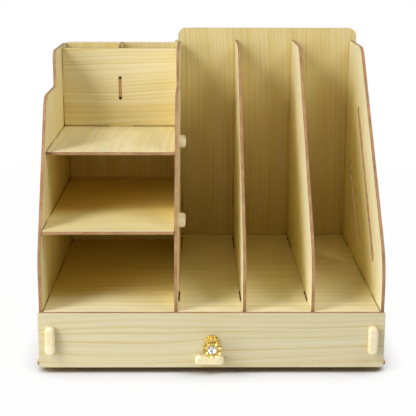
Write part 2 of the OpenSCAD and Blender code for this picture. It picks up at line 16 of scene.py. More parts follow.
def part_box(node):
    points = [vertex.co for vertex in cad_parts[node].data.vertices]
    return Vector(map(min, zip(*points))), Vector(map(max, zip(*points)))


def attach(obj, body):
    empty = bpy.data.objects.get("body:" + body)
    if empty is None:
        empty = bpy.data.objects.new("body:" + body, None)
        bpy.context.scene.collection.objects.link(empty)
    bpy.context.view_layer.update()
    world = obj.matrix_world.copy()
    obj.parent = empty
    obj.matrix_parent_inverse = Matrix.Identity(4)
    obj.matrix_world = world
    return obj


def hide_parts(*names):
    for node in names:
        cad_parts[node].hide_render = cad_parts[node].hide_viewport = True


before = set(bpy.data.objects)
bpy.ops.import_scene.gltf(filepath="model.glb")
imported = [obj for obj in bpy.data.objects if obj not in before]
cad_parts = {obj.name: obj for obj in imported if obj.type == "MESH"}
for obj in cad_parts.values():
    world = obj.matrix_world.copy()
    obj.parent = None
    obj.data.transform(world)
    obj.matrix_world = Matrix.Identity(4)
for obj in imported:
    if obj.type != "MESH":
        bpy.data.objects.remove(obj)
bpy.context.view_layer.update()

# %% [markdown]
# ## Camera
# The photograph looks at the middle of the front from a little above, through a long lens,
# so that upright lines stay almost parallel. The camera is placed by measured numbers
# instead of by a target, because its pitch, turn and slight roll were all found from the
# straight edges of the boards.

# %% Camera
CAMERA_PLACE = (-0.01484, -1.06169, 0.40601)
CAMERA_PITCH, CAMERA_TURN, CAMERA_ROLL = 14.45, 0.66, 0.21
FOCAL_PIXELS, IMAGE_PIXELS, SENSOR_MM = 1030.56, 416, 36.0

camera_data = bpy.data.cameras.new("camera")
camera_data.sensor_width = SENSOR_MM
camera_data.lens = SENSOR_MM * FOCAL_PIXELS / IMAGE_PIXELS
camera = bpy.data.objects.new("camera", camera_data)
bpy.context.collection.objects.link(camera)
tilt = Euler((math.radians(90 - CAMERA_PITCH), 0, -math.radians(CAMERA_TURN))).to_matrix()
camera.rotation_euler = (tilt @ Matrix.Rotation(math.radians(CAMERA_ROLL), 3, "Z")).to_euler()
camera.location = CAMERA_PLACE
bpy.context.scene.camera = camera
print("lens", round(camera_data.lens, 1), "mm")

# %% [markdown]
# ## Helpers for materials
# Every finish is a node tree. Small helpers keep the trees readable: one adds a node and
# sets its inputs, one makes a colour ramp, one opens a node group, and one starts a material
# with its shader. Colours are written as they look on screen and turned into the linear
# values that Blender works in.


# %% Helpers for node trees
def shown(red, green, blue):
    """A colour as an image editor shows it, from 0 to 255, as linear values."""
    return tuple(((v / 255 + 0.055) / 1.055) ** 2.4 if v > 10 else v / 3294.6
                 for v in (red, green, blue)) + (1,)


def add(tree, kind, label="", inputs=None, **settings):
    """A new shader node with its label, its input values and its settings."""
    node = tree.nodes.new("ShaderNode" + kind)
    node.label = label
    for name, value in settings.items():
        setattr(node, name, value)
    for name, value in (inputs or {}).items():
        node.inputs[name].default_value = value
    return node


def ramp(tree, stops, label=""):
    """A colour ramp with a colour at each given place from 0 to 1."""
    node = add(tree, "ValToRGB", label)
    elements = node.color_ramp.elements
    while len(elements) < len(stops):
        elements.new(0.5)
    for element, (place, colour) in zip(elements, stops):
        element.position = place
        element.color = colour
    return node


def new_group(name, inputs, outputs):
    """A shader node group with named sockets, and its inner input and output nodes."""
    tree = bpy.data.node_groups.new(name, "ShaderNodeTree")
    for socket, kind, value in inputs:
        made = tree.interface.new_socket(socket, in_out="INPUT", socket_type="NodeSocket" + kind)
        if value is not None:
            made.default_value = value
    for socket, kind in outputs:
        tree.interface.new_socket(socket, in_out="OUTPUT", socket_type="NodeSocket" + kind)
    return tree, tree.nodes.new("NodeGroupInput"), tree.nodes.new("NodeGroupOutput")


def new_material(name):
    """An empty material, its node tree and the Principled shader that ends it."""
    material = bpy.data.materials.new(name)
    material.use_nodes = True
    tree = material.node_tree
    tree.nodes.clear()
    output = add(tree, "OutputMaterial")
    shader = add(tree, "BsdfPrincipled", "finish")
    tree.links.new(shader.outputs["BSDF"], output.inputs["Surface"])
    return material, tree, shader


print("helpers ready")

# %% [markdown]
# ## Pine print
# The skin of each board is a printed picture of pine: cream with thin amber growth lines of
# uneven spacing that run along the board, wander a little and fade in and out. An image of
# pine would need its own file, so the print is drawn by maths. A one-dimensional Voronoi
# texture scatters points across the grain. The distance to the nearest point, with its
# sign, draws a line there: soft on one side and sharp on the other, as late wood is. The
# point's own random colour makes each line weaker or stronger. A second, finer set of
# lines lies under the first. The group takes a point with X along the grain. Deep inside
# a compartment, where light only arrives from board to board, an Ambient Occlusion node
# paints shade into the print, darker and warmer.

# %% Pine print group: the two sets of growth lines
PINE_STRAW = shown(234, 218, 160)
PINE_CREAM = shown(243, 232, 192)
PINE_AMBER = shown(226, 197, 92)
PINE_PALE = shown(248, 246, 221)
# Painted shade deep inside compartments, multiplied into the print.
DEEP_SHADE_TINT = (1.0, 0.87, 0.44, 1)
LINE_SPACING, LINE_WANDER = 5.0, 0.016
ENCLOSED_REACH, ENCLOSED_BELOW = 0.2, 0.35
NO_TINT = (1, 1, 1, 1)

pine, pine_in, pine_out = new_group(
    "Pine print",
    [("Vector", "Vector", None), ("Line spacing", "Float", LINE_SPACING),
     ("Wander", "Float", LINE_WANDER), ("Contrast", "Float", 1.0),
     ("Paleness", "Float", 0.0), ("Tint", "Color", NO_TINT)],
    [("Color", "Color"), ("Roughness", "Float"), ("Height", "Float")],
)
link = pine.links.new

bend_place = add(pine, "Mapping", "slow bends", {"Scale": (0.35, 1, 0)})
link(pine_in.outputs["Vector"], bend_place.inputs["Vector"])
bend = add(pine, "TexNoise", "bends", {"Scale": 12.0, "Detail": 1.5})
link(bend_place.outputs["Vector"], bend.inputs["Vector"])
bend_middle = add(pine, "Math", "either way", {1: 0.5}, operation="SUBTRACT")
link(bend.outputs["Fac"], bend_middle.inputs[0])
bend_size = add(pine, "Math", "times the wander", operation="MULTIPLY")
link(bend_middle.outputs[0], bend_size.inputs[0])
link(pine_in.outputs["Wander"], bend_size.inputs[1])
sideways = add(pine, "CombineXYZ", "across the grain")
link(bend_size.outputs[0], sideways.inputs["Y"])
bent = add(pine, "VectorMath", "bent grain", operation="ADD")
link(pine_in.outputs["Vector"], bent.inputs[0])
link(sideways.outputs["Vector"], bent.inputs[1])
parts = add(pine, "SeparateXYZ", "along and across")
link(bent.outputs["Vector"], parts.inputs["Vector"])


def growth_lines(label, share, soft, sharp, weakest):
    """Strength of lines at uneven steps, share times as far apart as the group is told.

    A line reaches soft metres to one side and sharp metres to the other, and where it fades
    most, its weakest share still shows.
    """
    step = add(pine, "Math", label + " spacing", {1: share / 1000}, operation="MULTIPLY")
    link(pine_in.outputs["Line spacing"], step.inputs[0])
    per_metre = add(pine, "Math", label + " per metre", {0: 1.0}, operation="DIVIDE")
    link(step.outputs[0], per_metre.inputs[1])
    nearest = add(pine, "TexVoronoi", label, voronoi_dimensions="1D", feature="F1")
    link(parts.outputs["Y"], nearest.inputs["W"])
    link(per_metre.outputs[0], nearest.inputs["Scale"])
    beside = add(pine, "Math", "beside the line", operation="SUBTRACT")
    link(parts.outputs["Y"], beside.inputs[0])
    link(nearest.outputs["W"], beside.inputs[1])
    early = add(pine, "MapRange", "soft side", {"From Min": -soft, "From Max": 0.0})
    link(beside.outputs[0], early.inputs["Value"])
    late = add(pine, "MapRange", "sharp side", {"From Max": sharp, "To Min": 1.0, "To Max": 0.0})
    link(beside.outputs[0], late.inputs["Value"])
    line = add(pine, "Math", label, operation="MULTIPLY")
    link(early.outputs["Result"], line.inputs[0])
    link(late.outputs["Result"], line.inputs[1])

    own = add(pine, "CombineXYZ", "each line's own noise")
    along = add(pine, "Math", "slow along it", {1: 0.02}, operation="MULTIPLY")
    link(parts.outputs["X"], along.inputs[0])
    link(along.outputs[0], own.inputs["X"])
    link(nearest.outputs["W"], own.inputs["Y"])
    fade = add(pine, "TexNoise", "fades", {"Scale": 400.0, "Detail": 1.0})
    link(own.outputs["Vector"], fade.inputs["Vector"])
    shows = add(pine, "MapRange", "how much shows",
                {"From Min": 0.34, "From Max": 0.66, "To Min": weakest})
    link(fade.outputs["Fac"], shows.inputs["Value"])
    faded = add(pine, "Math", label + ", faded", operation="MULTIPLY")
    link(line.outputs[0], faded.inputs[0])
    link(shows.outputs["Result"], faded.inputs[1])
    return faded.outputs[0]


coarse_lines = growth_lines("late wood", share=1.0, soft=0.0022, sharp=0.0007, weakest=0.25)
fine_lines = growth_lines("fine lines", share=0.37, soft=0.0009, sharp=0.0004, weakest=0.1)
fine_share = add(pine, "Math", "fine ones are weaker", {1: 0.6}, operation="MULTIPLY")
link(fine_lines, fine_share.inputs[0])
both = add(pine, "Math", "both sets", operation="MAXIMUM")
link(coarse_lines, both.inputs[0])
link(fine_share.outputs[0], both.inputs[1])
line_strength = add(pine, "Math", "contrast", operation="MULTIPLY", use_clamp=True)
link(both.outputs[0], line_strength.inputs[0])
link(pine_in.outputs["Contrast"], line_strength.inputs[1])
print("growth lines:", len(pine.nodes), "nodes")

# %% Pine print group: ground, pores, sheen and painted shade
stretch = add(pine, "Mapping", "long along the grain", {"Scale": (0.015, 1, 0)})
link(bent.outputs["Vector"], stretch.inputs["Vector"])
broad = add(pine, "TexNoise", "broad bands", {"Scale": 60.0, "Detail": 3.0, "Roughness": 0.55})
link(stretch.outputs["Vector"], broad.inputs["Vector"])
broad_mask = add(pine, "MapRange", "band mask", {"From Min": 0.33, "From Max": 0.66})
link(broad.outputs["Fac"], broad_mask.inputs["Value"])
ground = add(pine, "Mix", "straw to cream", data_type="RGBA")
link(broad_mask.outputs["Result"], ground.inputs["Factor"])
ground.inputs["A"].default_value = PINE_STRAW
ground.inputs["B"].default_value = PINE_CREAM
paled = add(pine, "Mix", "paler sheets", {"B": PINE_PALE}, data_type="RGBA")
link(pine_in.outputs["Paleness"], paled.inputs["Factor"])
link(ground.outputs["Result"], paled.inputs["A"])
pore_place = add(pine, "Mapping", "short dashes", {"Scale": (0.06, 1, 0)})
link(bent.outputs["Vector"], pore_place.inputs["Vector"])
pores = add(pine, "TexNoise", "pores", {"Scale": 1100.0, "Detail": 2.0, "Roughness": 0.6})
link(pore_place.outputs["Vector"], pores.inputs["Vector"])
pore_mask = add(pine, "MapRange", "pore mask", {"From Min": 0.55, "From Max": 0.8, "To Max": 0.22})
link(pores.outputs["Fac"], pore_mask.inputs["Value"])
lined = add(pine, "Mix", "growth lines", data_type="RGBA")
link(line_strength.outputs[0], lined.inputs["Factor"])
link(paled.outputs["Result"], lined.inputs["A"])
lined.inputs["B"].default_value = PINE_AMBER
pored = add(pine, "Mix", "pores", data_type="RGBA")
link(pore_mask.outputs["Result"], pored.inputs["Factor"])
link(lined.outputs["Result"], pored.inputs["A"])
pored.inputs["B"].default_value = PINE_AMBER
# Partly painted shade: a board's tint is partly its sheet's own tone and partly darkens or warms
# it for how the light falls on that board.
tinted_and_shaded = add(pine, "Mix", "tint and painted shade", {"Factor": 1.0},
             data_type="RGBA", blend_type="MULTIPLY")
link(pored.outputs["Result"], tinted_and_shaded.inputs["A"])
link(pine_in.outputs["Tint"], tinted_and_shaded.inputs["B"])
# Painted shade: where Ambient Occlusion finds a face enclosed, the print is made darker and
# warmer.
cover = add(pine, "AmbientOcclusion", "how enclosed", {"Distance": ENCLOSED_REACH}, samples=8)
painted_shade_mask = add(pine, "MapRange", "deep inside",
                {"From Max": ENCLOSED_BELOW, "To Min": 1.0, "To Max": 0.0})
link(cover.outputs["AO"], painted_shade_mask.inputs["Value"])
shade_painted = add(pine, "Mix", "warmer inside", {"B": DEEP_SHADE_TINT},
               data_type="RGBA", blend_type="MULTIPLY")
link(painted_shade_mask.outputs["Result"], shade_painted.inputs["Factor"])
link(tinted_and_shaded.outputs["Result"], shade_painted.inputs["A"])
gloss = add(pine, "MapRange", "sheen of the print", {"To Min": 0.36, "To Max": 0.5})
link(pores.outputs["Fac"], gloss.inputs["Value"])
link(shade_painted.outputs["Result"], pine_out.inputs["Color"])
link(gloss.outputs["Result"], pine_out.inputs["Roughness"])
link(pores.outputs["Fac"], pine_out.inputs["Height"])
print("pine print complete:", len(pine.nodes), "nodes")

# %% [markdown]
# ## Laser-cut edge
# The laser burns the fibreboard where it cuts, so every narrow face is a pinkish brown, with
# faint lines along the board where its layers of fibre were pressed, and a darker line
# right under each skin. Layers run along the board, so the noise is squeezed across the
# thickness. The group takes the same point as the print, with Z through the thickness.

# %% Cut edge group
EDGE_TAN = shown(188, 147, 101)
EDGE_BROWN = shown(158, 113, 70)
EDGE_BURNT = shown(112, 70, 38)

cut_edge, edge_in, edge_out = new_group(
    "Cut edge",
    [("Vector", "Vector", None), ("Middle", "Float", 0.0), ("Half thickness", "Float", 0.0016)],
    [("Color", "Color"), ("Roughness", "Float"), ("Height", "Float")],
)
link = cut_edge.links.new
layers_squeeze = add(cut_edge, "Mapping", "layers", {"Scale": (0.08, 0.08, 1)})
link(edge_in.outputs["Vector"], layers_squeeze.inputs["Vector"])
layers = add(cut_edge, "TexNoise", "fibre layers",
             {"Scale": 1400.0, "Detail": 3.0, "Roughness": 0.6})
link(layers_squeeze.outputs["Vector"], layers.inputs["Vector"])
scorch = add(cut_edge, "TexNoise", "uneven scorch", {"Scale": 90.0, "Detail": 3.0})
link(edge_in.outputs["Vector"], scorch.inputs["Vector"])
edge_mix = add(cut_edge, "Math", "layers and scorch", {1: 0.6}, operation="MULTIPLY_ADD")
link(layers.outputs["Fac"], edge_mix.inputs[0])
link(scorch.outputs["Fac"], edge_mix.inputs[2])
edge_tone = ramp(cut_edge, [(0.6, EDGE_BROWN), (1.0, EDGE_TAN)], "brown to tan")
link(edge_mix.outputs[0], edge_tone.inputs["Fac"])
depth = add(cut_edge, "SeparateXYZ", "place in the thickness")
link(edge_in.outputs["Vector"], depth.inputs["Vector"])
from_middle = add(cut_edge, "Math", "from the middle", operation="SUBTRACT")
link(depth.outputs["Z"], from_middle.inputs[0])
link(edge_in.outputs["Middle"], from_middle.inputs[1])
outness = add(cut_edge, "Math", "distance", operation="ABSOLUTE")
link(from_middle.outputs[0], outness.inputs[0])
share = add(cut_edge, "Math", "share of the half thickness", operation="DIVIDE")
link(outness.outputs[0], share.inputs[0])
link(edge_in.outputs["Half thickness"], share.inputs[1])
rim = add(cut_edge, "MapRange", "burnt rim", {"From Min": 0.55, "From Max": 0.9, "To Max": 0.6})
link(share.outputs[0], rim.inputs["Value"])
rimmed = add(cut_edge, "Mix", "darker under the skin", data_type="RGBA")
link(rim.outputs["Result"], rimmed.inputs["Factor"])
link(edge_tone.outputs["Color"], rimmed.inputs["A"])
rimmed.inputs["B"].default_value = EDGE_BURNT
edge_gloss = add(cut_edge, "MapRange", "dry edge", {"To Min": 0.7, "To Max": 0.9})
link(layers.outputs["Fac"], edge_gloss.inputs["Value"])
link(rimmed.outputs["Result"], edge_out.inputs["Color"])
link(edge_gloss.outputs["Result"], edge_out.inputs["Roughness"])
link(layers.outputs["Fac"], edge_out.inputs["Height"])
print("cut edge:", len(cut_edge.nodes), "nodes")

# %% [markdown]
# ## One material per board
# A board has two broad printed faces and narrow burnt ones. Which is which follows from
# the direction that a face looks in: along the board's thickness it carries the print. So
# one recipe serves all boards. It is told the axis of the thickness and of the grain, and
# shifts the print on each board, because no two are cut from the same place of the sheet.
# Where two boards meet, painted shade darkens both into a brown line: a second Ambient
# Occlusion node, which reaches only six millimetres, finds those joints.

# %% Parts of the board material
# Painted highlight: the pale colour of the rolled rims.
RIM_HIGHLIGHT = shown(250, 243, 220)
# Painted shade in the joints, found by a short Ambient Occlusion.
JOINT_SHADE_TINT = (0.55, 0.45, 0.24, 1)
JOINT_REACH, JOINT_CLOSED, JOINT_OPEN = 0.006, 0.28, 0.62
PRINTED_ABOVE, ROLLED_BELOW = 0.6, 0.985
AXES = {"X": Vector((1, 0, 0)), "Y": Vector((0, 1, 0)), "Z": Vector((0, 0, 1))}


def turn_to(grain, thickness):
    """The rotation that brings the grain onto X and the thickness onto Z."""
    rows = Matrix((AXES[grain], AXES[thickness].cross(AXES[grain]), AXES[thickness]))
    return rows.to_euler()


def blend_pair(tree, mask, inner, outer, socket):
    """Mixes the same output of two groups by a mask, and gives the result's socket."""
    node = add(tree, "Mix", socket)
    tree.links.new(mask, node.inputs["Factor"])
    tree.links.new(inner.outputs[socket], node.inputs["A"])
    tree.links.new(outer.outputs[socket], node.inputs["B"])
    return node.outputs["Result"]


def face_masks(tree, normal, thickness):
    """Masks of a board's printed faces and of the rims where they roll over."""
    facing = add(tree, "VectorMath", "faces along the thickness", {1: AXES[thickness]},
                 operation="DOT_PRODUCT")
    tree.links.new(normal, facing.inputs[0])
    size = add(tree, "Math", "either way", operation="ABSOLUTE")
    tree.links.new(facing.outputs["Value"], size.inputs[0])
    printed = add(tree, "Math", "printed face", {1: PRINTED_ABOVE}, operation="GREATER_THAN")
    tree.links.new(size.outputs[0], printed.inputs[0])
    rolled = add(tree, "Math", "rolled rim", {1: ROLLED_BELOW}, operation="LESS_THAN")
    tree.links.new(size.outputs[0], rolled.inputs[0])
    return printed.outputs[0], rolled.outputs[0]


def paint_joint_shade(tree, colour):
    """Paints shade into a colour where another board stands close in front of the face."""
    room = add(tree, "AmbientOcclusion", "room before the face",
               {"Distance": JOINT_REACH}, samples=8)
    in_joint = add(tree, "MapRange", "in a joint", {
        "From Min": JOINT_CLOSED, "From Max": JOINT_OPEN, "To Min": 1.0, "To Max": 0.0})
    tree.links.new(room.outputs["AO"], in_joint.inputs["Value"])
    joint_shaded = add(tree, "Mix", "darker joints", {"B": JOINT_SHADE_TINT},
                  data_type="RGBA", blend_type="MULTIPLY")
    tree.links.new(in_joint.outputs["Result"], joint_shaded.inputs["Factor"])
    tree.links.new(colour, joint_shaded.inputs["A"])
    return joint_shaded.outputs["Result"]


print("turn for a side panel", [round(math.degrees(a)) for a in turn_to("Z", "X")])


# %% Board material
def board_material(node, number, thickness, grain, print_values, skew=0.0):
    """The print and the burnt edge of one board, told its two axes and its print."""
    low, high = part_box(node)
    axis = "XYZ".index(thickness)
    material, tree, shader = new_material(node)
    put = tree.links.new
    place = add(tree, "TexCoord")
    turned = add(tree, "Mapping", "grain on X", {"Rotation": turn_to(grain, thickness)})
    put(place.outputs["Object"], turned.inputs["Vector"])
    shift = add(tree, "Mapping", "its own place on the sheet",
                {"Location": (0.37 * number, 0.113 * number, 0), "Rotation": (0, 0, skew)})
    put(turned.outputs["Vector"], shift.inputs["Vector"])
    skin = add(tree, "Group", "printed skin", node_tree=pine)
    for name, value in print_values.items():
        skin.inputs[name].default_value = value
    put(shift.outputs["Vector"], skin.inputs["Vector"])
    edge = add(tree, "Group", "cut edge", node_tree=cut_edge)
    edge.inputs["Middle"].default_value = (low[axis] + high[axis]) / 2
    edge.inputs["Half thickness"].default_value = (high[axis] - low[axis]) / 2
    put(turned.outputs["Vector"], edge.inputs["Vector"])

    printed, rolled = face_masks(tree, place.outputs["Normal"], thickness)
    # Painted highlight: the rolled rims are made paler, where they would catch the light.
    highlighted_rim = add(tree, "Mix", "rubbed pale", {"B": RIM_HIGHLIGHT}, data_type="RGBA")
    put(rolled, highlighted_rim.inputs["Factor"])
    put(skin.outputs["Color"], highlighted_rim.inputs["A"])
    colour = add(tree, "Mix", "print or edge", data_type="RGBA")
    put(printed, colour.inputs["Factor"])
    put(edge.outputs["Color"], colour.inputs["A"])
    put(highlighted_rim.outputs["Result"], colour.inputs["B"])
    # The colour gets painted shade where two boards meet.
    put(paint_joint_shade(tree, colour.outputs["Result"]), shader.inputs["Base Color"])
    put(blend_pair(tree, printed, edge, skin, "Roughness"), shader.inputs["Roughness"])
    bump = add(tree, "Bump", "fine relief", {"Strength": 0.2, "Distance": 0.0001})
    put(blend_pair(tree, printed, edge, skin, "Height"), bump.inputs["Height"])
    put(bump.outputs["Normal"], shader.inputs["Normal"])
    return material


print("board material ready")

# %% [markdown]
# ## Put the boards in their print
# The grain stands upright on the sides, the dividers and the two tall backs. It runs from
# front to back on the top shelf and the drawer's sides, and left to right on all other
# boards. A board's rims are never razor sharp: the skin rolls over them by half a
# millimetre. A Bevel modifier gives that roll without touching the CAD mesh, after a Weld
# modifier has joined the loose triangles that the mesh arrives as. The table gives each
# board the axis of its thickness and of its grain, the spacing of its growth lines in
# millimetres and how pale it is.

# %% Board finishes
RIM, RIM_SEGMENTS = 0.0005, 2
WELD_GAP, RIM_ANGLE = 0.00001, 40
BOARDS = {
    "bottom_board": ("Z", "X", 5.0, 0.0), "mid_board": ("Z", "X", 4.6, 0.6),
    "middle_shelf": ("Z", "X", 5.4, 0.1), "top_shelf": ("Z", "Y", 4.8, 0.3),
    "left_side_panel": ("X", "Z", 5.6, 0.35), "right_side_panel": ("X", "Z", 6.0, 0.7),
    "column_divider": ("X", "Z", 5.6, 0.8), "file_divider_left": ("X", "Z", 6.2, 0.85),
    "file_divider_right": ("X", "Z", 5.8, 0.85), "pen_box_divider": ("X", "Z", 5.0, 0.0),
    "column_back": ("Y", "Z", 5.0, 0.0), "pen_box_front": ("Y", "X", 3.4, 0.15),
    "file_back": ("Y", "Z", 5.2, 0.0), "bay_back": ("Y", "X", 5.0, 0.0),
    "drawer_front": ("Y", "X", 8.5, 0.4), "drawer_back": ("Y", "X", 5.0, 0.2),
    "drawer_left_side": ("X", "Y", 5.0, 0.2), "drawer_right_side": ("X", "Y", 5.2, 0.2),
    "drawer_bottom": ("Z", "X", 5.0, 0.2),
}
# Tints: partly each sheet's own tone, partly painted shade, darker or warmer by how the light
# falls on each board, as on the deep column back and the file back.
TINTS_AND_SHADE = {"file_back": (0.87, 0.83, 0.72, 1), "drawer_front": (0.79, 0.77, 0.73, 1),
         "pen_box_front": (0.88, 0.86, 0.84, 1), "top_shelf": (0.97, 0.96, 0.93, 1),
         "middle_shelf": (1.0, 0.985, 0.9, 1), "column_back": (1.0, 0.95, 0.75, 1)}
CONTRASTS = {"drawer_front": 0.7, "top_shelf": 0.7, "column_back": 0.5, "pen_box_front": 0.75,
             "file_back": 0.8}
SKEWS = {"top_shelf": 0.03, "file_back": 0.02, "drawer_front": 0.015}
WANDERS = {"drawer_front": 0.025, "top_shelf": 0.022, "pen_box_front": 0.024, "file_back": 0.022}


def roll_rims(node, width):
    """Joins the CAD mesh's loose triangles and rounds its rims, as modifiers."""
    weld = node.modifiers.new("weld", "WELD")
    weld.merge_threshold = WELD_GAP
    bevel = node.modifiers.new("rims", "BEVEL")
    bevel.width = width
    bevel.segments = RIM_SEGMENTS
    bevel.limit_method = "ANGLE"
    bevel.angle_limit = math.radians(RIM_ANGLE)


for number, (name, (thickness, grain, spacing, pale)) in enumerate(BOARDS.items()):
    values = {"Line spacing": spacing, "Paleness": pale, "Tint": TINTS_AND_SHADE.get(name, NO_TINT),
              "Contrast": CONTRASTS.get(name, 1.0), "Wander": WANDERS.get(name, LINE_WANDER)}
    material = board_material(name, number, thickness, grain, values, SKEWS.get(name, 0.0))
    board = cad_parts[name]
    board.data.materials.clear()
    board.data.materials.append(material)
    roll_rims(board, RIM)
print("boards dressed:", len(BOARDS))

# %% [markdown]
# ## Making a piece
# New pieces are built in a bmesh, which is Blender's mesh workshop. This helper closes the
# workshop: it merges doubled points, turns the faces outwards, keeps round faces smooth
# and creases sharp, and ties the object to the body that it moves with.


# %% Helper for new pieces
SAME_POINT = 1e-6
SOFT_CREASE, CUT_CREASE = 35.0, 1.0


def make_piece(name, bm, material, body, replaced, crease=SOFT_CREASE):
    """Turns a finished bmesh into a piece that moves with its body."""
    bmesh.ops.remove_doubles(bm, verts=bm.verts, dist=SAME_POINT)
    bmesh.ops.recalc_face_normals(bm, faces=bm.faces)
    mesh = bpy.data.meshes.new(name)
    bm.to_mesh(mesh)
    bm.free()
    mesh.polygons.foreach_set("use_smooth", [True] * len(mesh.polygons))
    mesh.set_sharp_from_angle(angle=math.radians(crease))
    mesh.materials.append(material)
    made = bpy.data.objects.new(name, mesh)
    bpy.context.collection.objects.link(made)
    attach(made, body)
    if replaced:
        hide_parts(replaced)
    print(name, len(mesh.polygons), "faces on", body)


print("piece helper ready")

# %% [markdown]
# ## Cream plastic
# The peg caps are moulded in cream plastic with a soft sheen. Moulded plastic is never one
# flat colour: it flows, so its tone clouds slightly, and its sheen varies with the polish
# of the mould. Two sizes of noise give both.

# %% Cap material
CAP_LIGHT = shown(251, 238, 204)
CAP_DEEP = shown(243, 226, 180)

cap_material, tree, shader = new_material("cap_plastic")
put = tree.links.new
place = add(tree, "TexCoord")
clouds = add(tree, "TexNoise", "flow clouds", {"Scale": 130.0, "Detail": 3.0})
put(place.outputs["Object"], clouds.inputs["Vector"])
cloud_tone = ramp(tree, [(0.35, CAP_DEEP), (0.65, CAP_LIGHT)], "cream")
put(clouds.outputs["Fac"], cloud_tone.inputs["Fac"])
put(cloud_tone.outputs["Color"], shader.inputs["Base Color"])
grit = add(tree, "TexNoise", "mould grit", {"Scale": 1600.0, "Detail": 2.0})
put(place.outputs["Object"], grit.inputs["Vector"])
sheen = add(tree, "MapRange", "soft sheen", {"To Min": 0.22, "To Max": 0.4})
put(clouds.outputs["Fac"], sheen.inputs["Value"])
put(sheen.outputs["Result"], shader.inputs["Roughness"])
grain_bump = add(tree, "Bump", "grit", {"Strength": 0.12, "Distance": 0.0001})
put(grit.outputs["Fac"], grain_bump.inputs["Height"])
put(grain_bump.outputs["Normal"], shader.inputs["Normal"])
print("cap plastic:", len(tree.nodes), "nodes")

# %% [markdown]
# ## Peg caps
# A peg cap is a small cream block with round ends that is pushed over a tab. The CAD caps
# have the right size and place but faceted crowns. A smoother cap starts as a block. Its
# upright edges are beveled into the round ends, its top rim into the crown, its base
# rim only slightly, and an inset pushed inwards makes the pocket that grips the tab.

# %% One cap
CAP_LENGTH, CAP_WIDTH, CAP_HEIGHT = 0.028, 0.0092, 0.007
TAB_THICKNESS, POCKET_DEPTH, POCKET_LIP = 0.0032, 0.0031, 0.0005
END_ROUNDING, CROWN_ROUNDING = CAP_WIDTH * 0.43, CAP_WIDTH * 0.27
FOOT_ROUNDING, POCKET_STEP = 0.0003, 0.00001


def bevel_edges(bm, edges, offset, segments):
    """Rounds edges evenly, in the material of the faces beside them."""
    bmesh.ops.bevel(bm, geom=edges, offset=offset, segments=segments, profile=0.5,
                    affect="EDGES", material=-1)


def rim_edges(bm, height):
    """The edges that lie level at a given height."""
    return [e for e in bm.edges if all(abs(v.co.z - height) < SAME_POINT for v in e.verts)]


bm = bmesh.new()
bmesh.ops.create_cube(bm, size=1.0)
bmesh.ops.scale(bm, vec=(CAP_LENGTH, CAP_WIDTH, CAP_HEIGHT), verts=bm.verts)
bmesh.ops.translate(bm, vec=(0, 0, CAP_HEIGHT / 2), verts=bm.verts)
upright = [e for e in bm.edges if abs(e.verts[0].co.z - e.verts[1].co.z) > SAME_POINT]
bevel_edges(bm, upright, END_ROUNDING, segments=10)
bevel_edges(bm, rim_edges(bm, CAP_HEIGHT), CROWN_ROUNDING, segments=7)
bevel_edges(bm, rim_edges(bm, 0.0), FOOT_ROUNDING, segments=2)
base = min(bm.faces, key=lambda face: face.calc_center_median().z)
bmesh.ops.inset_region(bm, faces=[base], use_even_offset=True,
                       thickness=(CAP_WIDTH - TAB_THICKNESS) / 2 - POCKET_LIP)
bmesh.ops.inset_region(bm, faces=[base], use_even_offset=True,
                       thickness=POCKET_STEP, depth=-POCKET_DEPTH)
cap_mesh = bpy.data.meshes.new("cap_pattern")
bm.to_mesh(cap_mesh)
bm.free()
print("one cap:", len(cap_mesh.polygons), "faces")


# %% All caps, where the CAD model has them
def solids_of(node):
    """The lowest and highest corner of each loose solid in a CAD node."""
    bm = bmesh.new()
    bm.from_mesh(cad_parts[node].data)
    bmesh.ops.remove_doubles(bm, verts=bm.verts, dist=WELD_GAP)
    seen, boxes = set(), []
    for start in bm.verts:
        if start in seen:
            continue
        seen.add(start)
        group, waiting = [], [start]
        while waiting:
            vert = waiting.pop()
            group.append(vert.co.copy())
            for other in (edge.other_vert(vert) for edge in vert.link_edges):
                if other not in seen:
                    seen.add(other)
                    waiting.append(other)
        boxes.append([Vector(pick(p[i] for p in group) for i in range(3)) for pick in (min, max)])
    bm.free()
    return boxes


def cap_place(low, high, outward):
    """Turns the pattern cap so that it stands on its board and fills the CAD cap's box."""
    size = high - low
    along = AXES["XYZ"[max(range(3), key=lambda i: size[i])]]
    turn = Matrix((along, outward.cross(along), outward)).transposed()
    foot = (low + high) / 2 - outward * abs(size.dot(outward)) / 2
    return Matrix.Translation(foot) @ turn.to_4x4()


def make_caps(name, node, outward, body):
    """One piece with a smooth cap in the place of each cap of a CAD node."""
    bm = bmesh.new()
    for low, high in solids_of(node):
        before = len(bm.verts)
        bm.from_mesh(cap_mesh)
        bm.verts.ensure_lookup_table()
        bmesh.ops.transform(bm, matrix=cap_place(low, high, outward), verts=bm.verts[before:])
    make_piece(name, bm, cap_material, body, node)


make_caps("shelf_caps", "shelf_pegs", AXES["X"], "case")
make_caps("rear_caps", "back_pegs", AXES["Y"], "case")
make_caps("foot_caps", "foot_pegs", -AXES["Z"], "case")
make_caps("drawer_caps", "drawer_pegs", -AXES["Y"], "drawer")

# %% [markdown]
# ## Gold plating
# The knob is cast metal with a bright gold plating. Plating is thin in the hollows, where
# a brown lacquer stays behind: that dark line between petals is what makes small cast
# parts readable. An Ambient Occlusion node finds the hollows, and noise clouds the polish.

# %% Gold and steel
GOLD_BRIGHT = shown(248, 224, 140)
GOLD_DEEP = shown(198, 162, 78)
GOLD_HOLLOW = shown(96, 72, 18)


